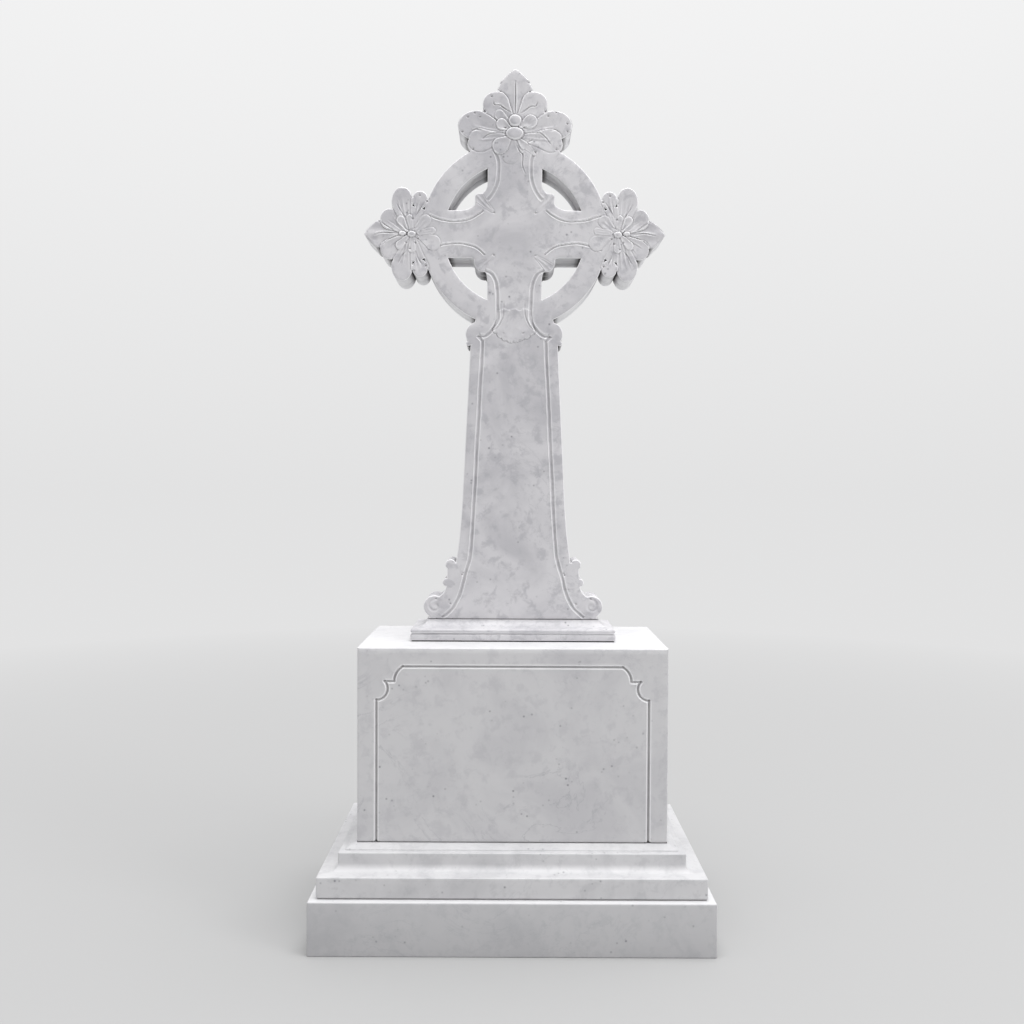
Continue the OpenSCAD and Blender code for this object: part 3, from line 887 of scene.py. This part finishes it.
def layHangingLeaf(h, x, z, look):
    up = z - crossFoot
    t = np.clip((look["top"] - up) / (look["top"] - look["widest"]), 0, 1)
    half = look["topHalf"] + (look["lowHalf"] - look["topHalf"]) * t ** 2
    top = look["top"] + 2 * np.cos(x * 0.27)
    edge = np.maximum(np.abs(x) - half, np.maximum(up - top, look["low"] - up))
    for sx, sz, r in look["scallops"]:
        edge = np.minimum(edge, np.hypot(x - sx, up - sz) - r)
    over = easeStep(0.9, -0.9, edge)
    lower = easeStep(look["top"] + 5, look["top"] - 17, up)
    h = h - 2.0 * bellCurve(np.maximum(edge, 0), 1.6) * (edge > -2) * lower
    own = look["level"] - 0.8 * easeStep(2, 16, -edge)
    return h * (1 - over) + own * over


footScroll = {
    "eye": (176, 29), "radius": 17, "tighten": 13, "steps": 16, "startAngle": 110, "turnEach": 22,
    "width": 5.0, "depth": 1.6, "lip": 0.3, "dimple": (174, 31), "dimpleSize": 5.0, "dimpleDepth": 1.2,
    "dots": [(131, 130), (174.5, 47), (141.5, 35), (115.5, 100), (113, 104)],
}


# the curl of each foot scroll winds in towards its eye
def scrollTurns(h, x, z, look):
    up = z - crossFoot
    turns = []
    for i in range(look["steps"] + 1):
        r = look["radius"] - look["tighten"] * i / look["steps"]
        a = math.radians(look["startAngle"] - look["turnEach"] * i)
        turns.append((look["eye"][0] + r * math.cos(a), look["eye"][1] + r * math.sin(a)))
    for flip in (1, -1):
        fx = x * flip
        h = cutVein(h, fx, up, turns, look["width"], look["depth"], look["lip"])
        h = drillDot(h, fx, up, look["dimple"], look["dimpleSize"], look["dimpleDepth"])
        for spot in look["dots"]:
            h = drillDot(h, fx, up, spot, 1.8, 3.6)
    return h


def crossFront(x, z):
    x, z = wander(x, z)
    h = np.zeros_like(x)
    h = layHangingLeaf(h, x, z, hangingLeaf)
    h = crossLines(h, x, z, shaftLines, True)
    h = scrollTurns(h, x, z, footScroll)
    up = z - ringZ
    for flip in (1, -1):
        fx = x * flip
        for leaf in knobLeaves.values():
            h = layPetal(h, fx, up, leaf)
        for spot in knobDots:
            h = drillDot(h, fx, up, spot, 1.7, 2.6)
    return layLeafEnds(h, x, z)


# the three leaf ends: the top one along the upright, the side ones along the arms
def layLeafEnds(h, x, z):
    top = z - ringZ - ringOut
    there = (top > -110) & (np.abs(x) < 140)
    h[there] = layLeaf(h[there], x[there], top[there], topLeaf)
    for flip in (1, -1):
        out = x * flip - ringOut
        there = (out > -60) & (np.abs(z - ringZ) < 115)
        h[there] = layLeaf(h[there], (z - ringZ)[there], out[there], armLeaf)
    return h


def crossRear(x, z):
    h = np.zeros_like(x)
    return crossLines(h, x, z, rearLines, False)


crossStone = {
    "arris": 2.0, "edgeStep": 3.6, "sharp": 55, "edgeHighlight": 0.7, "cornerReach": 10,
    "frontMesh": (1.5, 0.07), "backMesh": (2.6, 0.25),
    "sideRows": lambda t: [  # a broad quirk near the front and a fine one past the middle
        (3.0, 0), (4.6, 0), (5.6, 2.0), (9.0, 2.0), (10.4, 0.2), (t * 0.56, 0),
        (t * 0.56 + 1.6, 1.4), (t * 0.56 + 3.2, 0), (t - 5, 0), (t - 3.0, 0),
    ],
}
celticCross = carvedSlab("celticCross", "celtic_cross", crossStone, crossFront, crossRear)
finishPiece(celticCross, crossMarble, "celtic_cross")

studio = {
    "floorTone": (0.364, 0.364, 0.365), "floorReach": 40, "fadeFrom": 0.3, "fadeTo": 4.8,
    "skyLow": (0.762, 0.762, 0.764), "skyHigh": (0.946, 0.946, 0.948),
    "lights": {
        "topLight": {"place": (0.6, -0.8, 9.0), "target": (0, 0, 0.8), "size": (5.6, 4.6), "power": 730},
        "rightLight": {"place": (6.8, -4.2, 4.0), "target": (0, 0, 1.1), "size": (2.8, 2.8), "power": 170},
    },
}

world = bpy.data.worlds.new("studio")
world.use_nodes = True
skyNodes = world.node_tree.nodes
skyLinks = world.node_tree.links
direction = skyNodes.new("ShaderNodeTexCoord")
height = skyNodes.new("ShaderNodeSeparateXYZ")
skyLinks.new(direction.outputs["Generated"], height.inputs[0])
rise = skyNodes.new("ShaderNodeMapRange")
rise.inputs["From Max"].default_value = 0.6
skyLinks.new(height.outputs["Z"], rise.inputs["Value"])
wash = skyNodes.new("ShaderNodeMix")
wash.data_type = "RGBA"
wash.inputs["A"].default_value = (*studio["skyLow"], 1)
wash.inputs["B"].default_value = (*studio["skyHigh"], 1)
skyLinks.new(rise.outputs["Result"], wash.inputs["Factor"])
skyLinks.new(wash.outputs["Result"], skyNodes["Background"].inputs["Color"])
bpy.context.scene.world = world


# pale floor that melts into the backdrop away from the stone
def paleFloor(look):
    steps = 64
    reach = look["floorReach"]
    rings = (0.5, 1, 2, 4, 8, 16, reach)
    verts = [(0, 0, 0)]
    for r in rings:
        for i in range(steps):
            a = 2 * math.pi * i / steps
            verts.append((r * math.cos(a), r * math.sin(a), 0))
    faces = [(0, 1 + i, 1 + (i + 1) % steps) for i in range(steps)]
    for k in range(len(rings) - 1):
        for i in range(steps):
            j = (i + 1) % steps
            inner = 1 + k * steps
            faces.append((inner + i, inner + steps + i, inner + steps + j, inner + j))
    mesh = bpy.data.meshes.new("paleFloor")
    mesh.from_pydata(verts, [], faces)
    floor = bpy.data.objects.new("paleFloor", mesh)
    bpy.context.scene.collection.objects.link(floor)
    mat = bpy.data.materials.new("paleFloor")
    mat.use_nodes = True
    nodes = mat.node_tree.nodes
    links = mat.node_tree.links
    shader = nodes["Principled BSDF"]
    shader.inputs["Base Color"].default_value = (*look["floorTone"], 1)
    shader.inputs["Roughness"].default_value = 0.9
    shader.inputs["Specular IOR Level"].default_value = 0.0
    far = nodes.new("ShaderNodeEmission")
    far.inputs["Color"].default_value = (*look["skyLow"], 1)
    place = nodes.new("ShaderNodeTexCoord")
    length = nodes.new("ShaderNodeVectorMath")
    length.operation = "LENGTH"
    links.new(place.outputs["Object"], length.inputs[0])
    fade = nodes.new("ShaderNodeMapRange")
    fade.inputs["From Min"].default_value = look["fadeFrom"]
    fade.inputs["From Max"].default_value = look["fadeTo"]
    links.new(length.outputs["Value"], fade.inputs["Value"])
    mix = nodes.new("ShaderNodeMixShader")
    links.new(fade.outputs["Result"], mix.inputs["Fac"])
    links.new(shader.outputs["BSDF"], mix.inputs[1])
    links.new(far.outputs["Emission"], mix.inputs[2])
    links.new(mix.outputs["Shader"], nodes["Material Output"].inputs["Surface"])
    mesh.materials.append(mat)


paleFloor(studio)


def softBox(name, look):
    light = bpy.data.lights.new(name, "AREA")
    light.shape = "RECTANGLE"
    light.size = look["size"][0]
    light.size_y = look["size"][1]
    light.energy = look["power"]
    lamp = bpy.data.objects.new(name, light)
    lamp.location = look["place"]
    aim = Vector(look["target"]) - Vector(look["place"])
    lamp.rotation_euler = aim.to_track_quat("-Z", "Y").to_euler()
    bpy.context.scene.collection.objects.link(lamp)


for name, look in studio["lights"].items():
    softBox(name, look)

shot = {"place": (-0.0035, -2.299, 0.9607), "down": 1.26, "roll": 0.25, "lens": 35.16}
cam = bpy.data.cameras.new("camera")
cam.lens = shot["lens"]
cam.sensor_width = 36
camera = bpy.data.objects.new("camera", cam)
camera.location = shot["place"]
camera.rotation_euler = (math.radians(90 - shot["down"]), -math.radians(shot["roll"]), 0)
bpy.context.scene.collection.objects.link(camera)
bpy.context.scene.camera = camera
bpy.context.scene.view_settings.view_transform = "Standard"
print("studio lit")
